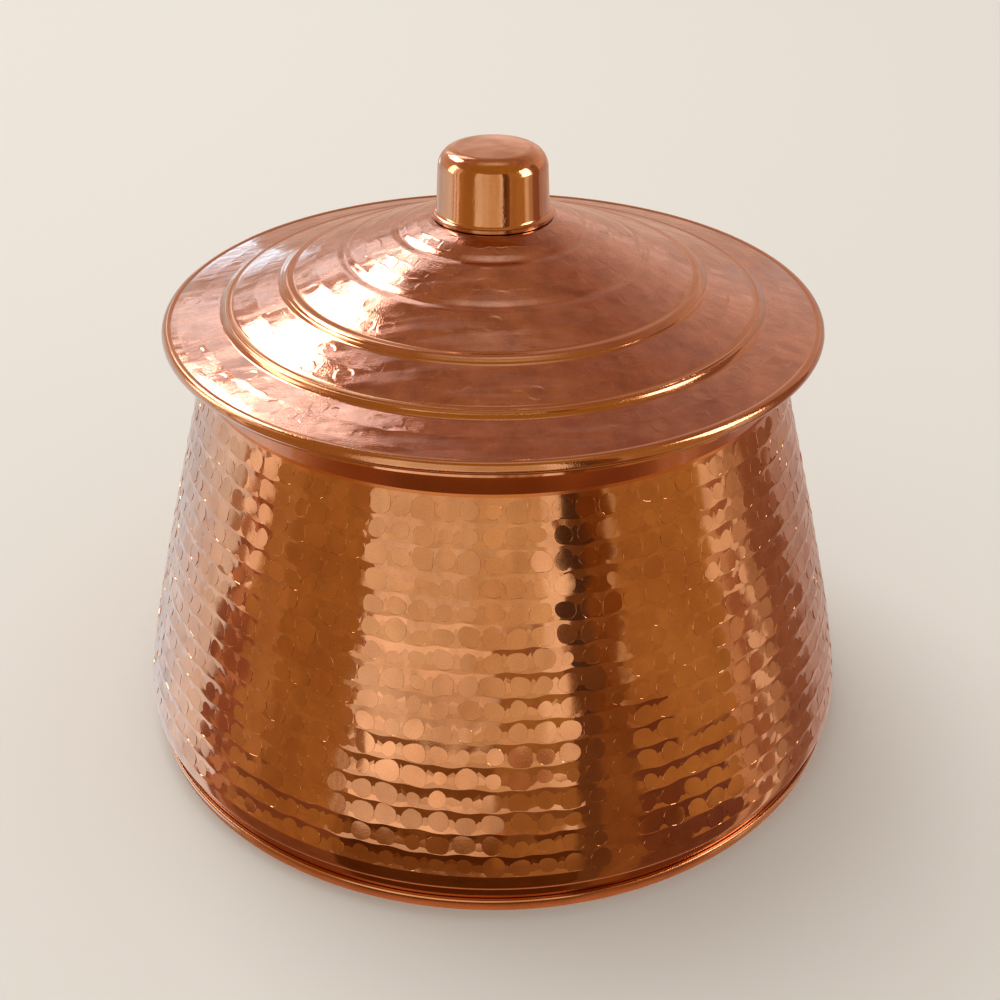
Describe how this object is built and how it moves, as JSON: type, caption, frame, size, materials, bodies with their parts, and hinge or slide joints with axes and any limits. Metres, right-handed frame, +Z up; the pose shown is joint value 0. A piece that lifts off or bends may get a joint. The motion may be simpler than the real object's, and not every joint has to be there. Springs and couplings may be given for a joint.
{
  "type": "lidded cooking pot",
  "caption": "Hammered copper cooking pot with sloping sides, flared lip, narrow foot ring and a loose stepped lid with a hollow knob.",
  "frame": {"origin": "on the pot's upright axis, at the surface that its foot ring stands on", "axes": "+Z up along the pot's upright axis, -Y towards the viewer of the picture, +X to the viewer's right"},
  "size_m": [0.24, 0.24, 0.1911],
  "materials": {
    "hammered_copper": "hammered and satin polished copper",
    "spun_copper": "spun copper, lightly polished",
    "polished_copper": "smooth polished copper",
    "copper_wire": "drawn copper wire",
    "turned_brass": "turned brass",
    "plated_steel": "zinc plated steel"
  },
  "bodies": {
    "pot": {"body_wall": "hammered_copper", "bottom_pan": "spun_copper", "foot_ring": "spun_copper"},
    "lid": {"lid_shell": "hammered_copper", "lid_rim_wire": "copper_wire", "lid_collar": "spun_copper", "knob": "polished_copper", "knob_boss": "turned_brass", "knob_washer": "turned_brass", "knob_screw": "plated_steel"}
  },
  "joints": [
    {"name": "lid_lift", "type": "slide", "parent": "pot", "child": "lid", "axis": [0, 0, 1], "range_m": [0, 0.08]}
  ]
}
